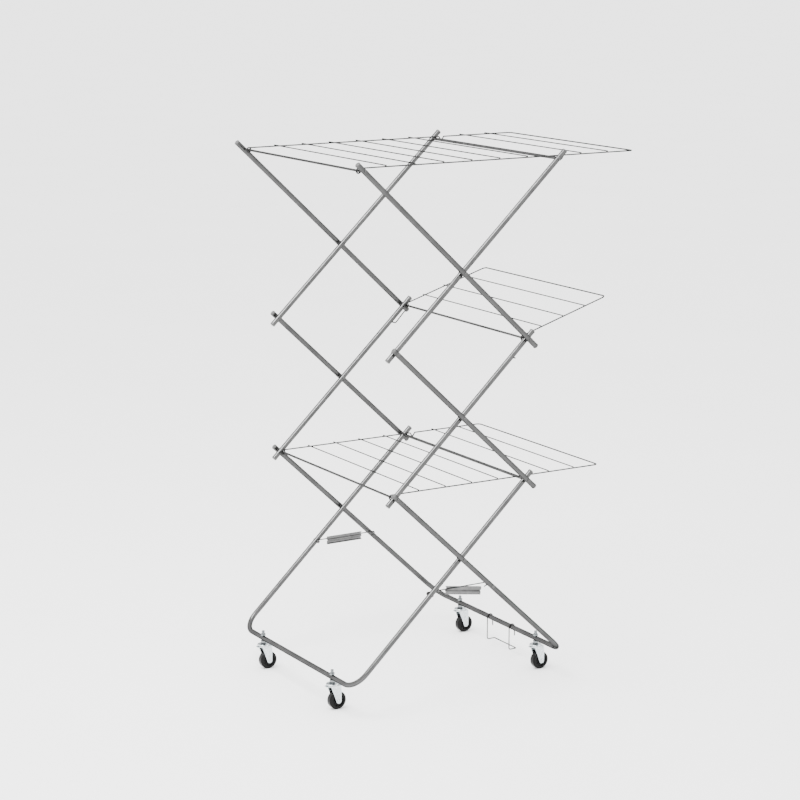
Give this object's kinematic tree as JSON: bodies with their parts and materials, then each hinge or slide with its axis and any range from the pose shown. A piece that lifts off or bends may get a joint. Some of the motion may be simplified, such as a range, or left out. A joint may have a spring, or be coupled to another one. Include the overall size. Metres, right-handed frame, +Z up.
{
  "type": "clothes drying rack",
  "caption": "Folding scissor-frame clothes drying rack of steel tube with level and tilted wire shelves, locking stays and a wire shoe hanger, standing on swivel casters.",
  "frame": {"origin": "middle of the rack's outline on the floor, under the open rack", "axes": "+Z up; +X the way the shelves overhang, across the scissor; +Y along the cross bars towards the far side"},
  "size_m": [0.9034, 0.6788, 1.4722],
  "materials": {
    "steel_tube": "polished stainless tube",
    "shelf_wire": "drawn stainless wire, electropolished",
    "pressed_sheet": "pressed stainless sheet",
    "zinc_plate": "bright zinc plate",
    "black_wheel": "glossy moulded plastic",
    "cap_plastic": "satin moulded plastic",
    "washer_plastic": "nylon washer"
  },
  "bodies": {
    "left_frame": {"left_base_frame": "steel_tube", "left_frame_caps": "cap_plastic", "bottom_cross_rivets": "steel_tube", "bottom_cross_spacers": "washer_plastic", "left_caster_stems": "zinc_plate", "left_caster_nuts": "zinc_plate", "stay_rivets": "steel_tube"},
    "right_frame": {"right_base_frame": "steel_tube", "right_frame_caps": "cap_plastic", "lower_left_bar": "steel_tube", "lower_left_spacers": "washer_plastic", "right_caster_stems": "zinc_plate", "right_caster_nuts": "zinc_plate", "stay_catch_pins": "steel_tube"},
    "middle_rising_arms": {"middle_rising_arm_near": "steel_tube", "middle_rising_arm_far": "steel_tube", "middle_rising_caps": "cap_plastic", "middle_cross_rivets": "steel_tube", "middle_rising_spacers": "washer_plastic", "upper_right_bar": "steel_tube"},
    "middle_falling_arms": {"middle_falling_arm_near": "steel_tube", "middle_falling_arm_far": "steel_tube", "middle_falling_caps": "cap_plastic", "lower_right_bar": "steel_tube", "upper_left_rivets": "steel_tube", "middle_falling_spacers": "washer_plastic"},
    "top_rising_arms": {"top_rising_arm_near": "steel_tube", "top_rising_arm_far": "steel_tube", "top_rising_caps": "cap_plastic", "top_cross_rivets": "steel_tube", "top_cross_spacers": "washer_plastic", "top_right_bar": "steel_tube"},
    "top_falling_arms": {"top_falling_arm_near": "steel_tube", "top_falling_arm_far": "steel_tube", "top_falling_caps": "cap_plastic", "top_left_bar": "steel_tube"},
    "top_shelf": {"top_shelf_rails": "shelf_wire", "top_shelf_wires": "shelf_wire"},
    "middle_shelf": {"middle_shelf_rails": "shelf_wire", "middle_shelf_wires": "shelf_wire"},
    "lower_shelf": {"lower_shelf_rails": "shelf_wire", "lower_shelf_wires": "shelf_wire"},
    "near_stay": {"stay_wire_near": "shelf_wire", "stay_grip_near": "pressed_sheet"},
    "far_stay": {"stay_wire_far": "shelf_wire", "stay_grip_far": "pressed_sheet"},
    "shoe_hanger": {"shoe_hanger": "shelf_wire"},
    "left_near_fork": {"left_near_fork": "zinc_plate", "left_near_axle": "zinc_plate"},
    "left_near_wheel": {"left_near_wheel": "black_wheel"},
    "left_far_fork": {"left_far_fork": "zinc_plate", "left_far_axle": "zinc_plate"},
    "left_far_wheel": {"left_far_wheel": "black_wheel"},
    "right_near_fork": {"right_near_fork": "zinc_plate", "right_near_axle": "zinc_plate"},
    "right_near_wheel": {"right_near_wheel": "black_wheel"},
    "right_far_fork": {"right_far_fork": "zinc_plate", "right_far_axle": "zinc_plate"},
    "right_far_wheel": {"right_far_wheel": "black_wheel"}
  },
  "joints": [
    {"name": "fold", "type": "hinge", "parent": "left_frame", "child": "right_frame", "pos_m": [-0.1048, 0, 0.39776], "axis": [0, 1, 0], "range_deg": [0, 72]},
    {"name": "middle_rising_pivot", "type": "hinge", "parent": "right_frame", "child": "middle_rising_arms", "pos_m": [-0.30868, 0, 0.58968], "axis": [0, 1, 0], "range_deg": [-72, 0]},
    {"name": "middle_falling_pivot", "type": "hinge", "parent": "left_frame", "child": "middle_falling_arms", "pos_m": [0.09907, 0, 0.58968], "axis": [0, 1, 0], "range_deg": [0, 72]},
    {"name": "top_rising_pivot", "type": "hinge", "parent": "middle_falling_arms", "child": "top_rising_arms", "pos_m": [-0.30868, 0, 0.97353], "axis": [0, 1, 0], "range_deg": [-72, 0]},
    {"name": "top_falling_pivot", "type": "hinge", "parent": "middle_rising_arms", "child": "top_falling_arms", "pos_m": [0.09907, 0, 0.97353], "axis": [0, 1, 0], "range_deg": [0, 72]},
    {"name": "top_shelf_hinge", "type": "hinge", "parent": "top_falling_arms", "child": "top_shelf", "pos_m": [-0.40407, 0, 1.44717], "axis": [0, 1, 0], "range_deg": [-118.81, 0]},
    {"name": "lower_shelf_hinge", "type": "hinge", "parent": "right_frame", "child": "lower_shelf", "pos_m": [-0.30868, 0, 0.58968], "axis": [0, 1, 0], "range_deg": [-104.41, 0]},
    {"name": "near_stay_pivot", "type": "hinge", "parent": "left_frame", "child": "near_stay", "pos_m": [-0.19655, -0.302, 0.3114], "axis": [0, 1, 0], "range_deg": [0, 36]},
    {"name": "far_stay_pivot", "type": "hinge", "parent": "left_frame", "child": "far_stay", "pos_m": [-0.19655, 0.302, 0.3114], "axis": [0, 1, 0], "range_deg": [0, 36]},
    {"name": "middle_shelf_lift", "type": "hinge", "parent": "middle_rising_arms", "child": "middle_shelf", "pos_m": [0.09907, 0, 0.97353], "axis": [0, -1, 0], "range_deg": [0, 24.5]},
    {"name": "shoe_hanger_swing", "type": "hinge", "parent": "right_frame", "child": "shoe_hanger", "pos_m": [0.22213, -0.0205, 0.09], "axis": [0, 1, 0], "range_deg": [-40, 40]},
    {"name": "left_near_swivel", "type": "hinge", "parent": "left_frame", "child": "left_near_fork", "pos_m": [-0.43173, -0.197, 0.09], "axis": [0, 0, 1], "continuous": true},
    {"name": "left_near_roll", "type": "hinge", "parent": "left_near_fork", "child": "left_near_wheel", "pos_m": [-0.41873, -0.197, 0.025], "axis": [0, 1, 0], "continuous": true},
    {"name": "left_far_swivel", "type": "hinge", "parent": "left_frame", "child": "left_far_fork", "pos_m": [-0.43173, 0.197, 0.09], "axis": [0, 0, 1], "continuous": true},
    {"name": "left_far_roll", "type": "hinge", "parent": "left_far_fork", "child": "left_far_wheel", "pos_m": [-0.41873, 0.197, 0.025], "axis": [0, 1, 0], "continuous": true},
    {"name": "right_near_swivel", "type": "hinge", "parent": "right_frame", "child": "right_near_fork", "pos_m": [0.22213, -0.197, 0.09], "axis": [0, 0, 1], "continuous": true},
    {"name": "right_near_roll", "type": "hinge", "parent": "right_near_fork", "child": "right_near_wheel", "pos_m": [0.23513, -0.197, 0.025], "axis": [0, 1, 0], "continuous": true},
    {"name": "right_far_swivel", "type": "hinge", "parent": "right_frame", "child": "right_far_fork", "pos_m": [0.22213, 0.197, 0.09], "axis": [0, 0, 1], "continuous": true},
    {"name": "right_far_roll", "type": "hinge", "parent": "right_far_fork", "child": "right_far_wheel", "pos_m": [0.23513, 0.197, 0.025], "axis": [0, 1, 0], "continuous": true}
  ],
  "couplings": [
    {"joint": "middle_rising_pivot", "follows": "fold", "ratio": -1},
    {"joint": "middle_falling_pivot", "follows": "fold", "ratio": 1},
    {"joint": "top_rising_pivot", "follows": "fold", "ratio": -1},
    {"joint": "top_falling_pivot", "follows": "fold", "ratio": 1},
    {"joint": "top_shelf_hinge", "follows": "fold", "ratio": -1.65},
    {"joint": "lower_shelf_hinge", "follows": "fold", "ratio": -1.45},
    {"joint": "near_stay_pivot", "follows": "fold", "ratio": 0.5},
    {"joint": "far_stay_pivot", "follows": "fold", "ratio": 0.5}
  ]
}
